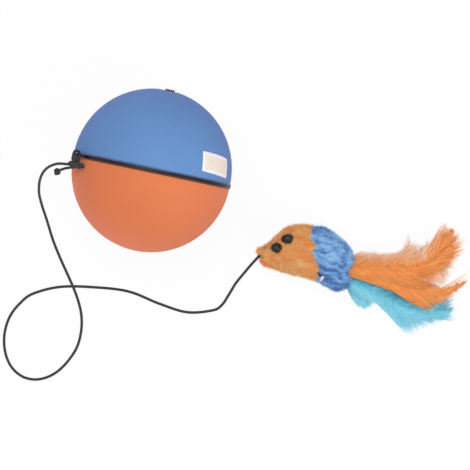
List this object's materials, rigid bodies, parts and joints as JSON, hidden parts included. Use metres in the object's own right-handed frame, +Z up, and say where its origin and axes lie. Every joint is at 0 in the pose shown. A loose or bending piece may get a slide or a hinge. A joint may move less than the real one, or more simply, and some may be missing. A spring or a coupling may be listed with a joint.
{
  "type": "self rolling cat ball",
  "caption": "Round two-part ball on a middle ring, with a geared motor unit hung inside that makes it roll, and a plush mouse with feathers tied on by a cord.",
  "frame": {"origin": "on the floor under the ball's centre, where the middle ring rests", "axes": "+Z up; +Y along the ball's axis towards the blue half; +X along the toy towards the mouse"},
  "size_m": [0.2349, 0.1648, 0.0847],
  "materials": {
    "blue_plastic": "moulded plastic with a fine satin texture",
    "orange_plastic": "moulded plastic with a fine satin texture",
    "black_plastic": "moulded plastic, slightly satin",
    "grey_plastic": "moulded plastic",
    "white_plastic": "acetal, smooth",
    "motor_steel": "drawn and plated sheet steel",
    "steel": "ground steel",
    "screw_steel": "zinc plated steel",
    "dark_iron": "sintered magnet and stacked iron sheet",
    "contact_brass": "plain brass",
    "cell_jacket": "plain printed-free film on a steel can",
    "black_cord": "round braided polyester cord",
    "orange_plush": "short pile plush",
    "blue_plush": "short pile plush, brushed in streaks",
    "eye_bead": "polished black bead",
    "orange_feather": "dyed down and vane",
    "turquoise_feather": "dyed vane"
  },
  "bodies": {
    "ball": {"orange_shell": "orange_plastic", "middle_ring": "black_plastic", "ring_screw_1": "screw_steel", "ring_screw_2": "screw_steel", "ring_screw_3": "screw_steel", "ring_screw_4": "screw_steel", "drive_shaft": "steel", "output_gear": "white_plastic", "cord": "black_cord", "cord_loop": "black_cord", "cord_knot": "black_cord", "cord_tail": "black_cord", "tail_knot": "black_cord", "mouse_head": "orange_plush", "mouse_body": "blue_plush", "mouse_eye_near": "eye_bead", "mouse_eye_far": "eye_bead", "feather_orange_upper": "orange_feather", "feather_orange_lower": "orange_feather", "feather_blue_long": "turquoise_feather", "feather_blue_short": "turquoise_feather"},
    "blue_half": {"blue_shell": "blue_plastic"},
    "drive_unit": {"drive_chassis": "grey_plastic", "gearbox_cover": "grey_plastic", "cover_screw_1": "screw_steel", "cover_screw_2": "screw_steel", "cover_screw_3": "screw_steel", "rear_plate": "grey_plastic", "rear_screw_1": "screw_steel", "rear_screw_2": "screw_steel", "motor_can": "motor_steel", "motor_end_bell": "black_plastic", "motor_magnet_upper": "dark_iron", "motor_magnet_lower": "dark_iron", "motor_terminal_1": "contact_brass", "motor_terminal_2": "contact_brass", "battery_cell": "cell_jacket", "contact_plate": "contact_brass", "contact_spring": "steel", "gear_axle_first": "steel", "gear_axle_second": "steel", "switch_body": "black_plastic"},
    "motor_rotor": {"motor_shaft": "steel", "motor_pinion": "contact_brass", "motor_armature": "dark_iron", "motor_commutator": "contact_brass"},
    "first_gear": {"compound_gear_first": "white_plastic"},
    "second_gear": {"compound_gear_second": "white_plastic"},
    "knob": {"switch_knob": "black_plastic"}
  },
  "joints": [
    {"name": "shell_twist", "type": "hinge", "parent": "ball", "child": "blue_half", "pos_m": [0, 0, 0.04237], "axis": [0, 1, 0], "range_deg": [0, 20]},
    {"name": "drive_turn", "type": "hinge", "parent": "ball", "child": "drive_unit", "pos_m": [0, 0, 0.04237], "axis": [0, 1, 0], "continuous": true},
    {"name": "second_gear_turn", "type": "hinge", "parent": "drive_unit", "child": "second_gear", "pos_m": [-0.00976, 0, 0.04845], "axis": [0, 1, 0], "continuous": true},
    {"name": "first_gear_turn", "type": "hinge", "parent": "drive_unit", "child": "first_gear", "pos_m": [-0.01661, 0, 0.03921], "axis": [0, 1, 0], "continuous": true},
    {"name": "motor_turn", "type": "hinge", "parent": "drive_unit", "child": "motor_rotor", "pos_m": [-0.0082, 0, 0.03137], "axis": [0, 1, 0], "continuous": true},
    {"name": "switch_slide", "type": "slide", "parent": "drive_unit", "child": "knob", "axis": [1, 0, 0], "range_m": [-0.0018, 0]}
  ],
  "couplings": [
    {"joint": "second_gear_turn", "follows": "drive_turn", "ratio": 3.6},
    {"joint": "first_gear_turn", "follows": "drive_turn", "ratio": -12.96},
    {"joint": "motor_turn", "follows": "drive_turn", "ratio": 46.656}
  ]
}
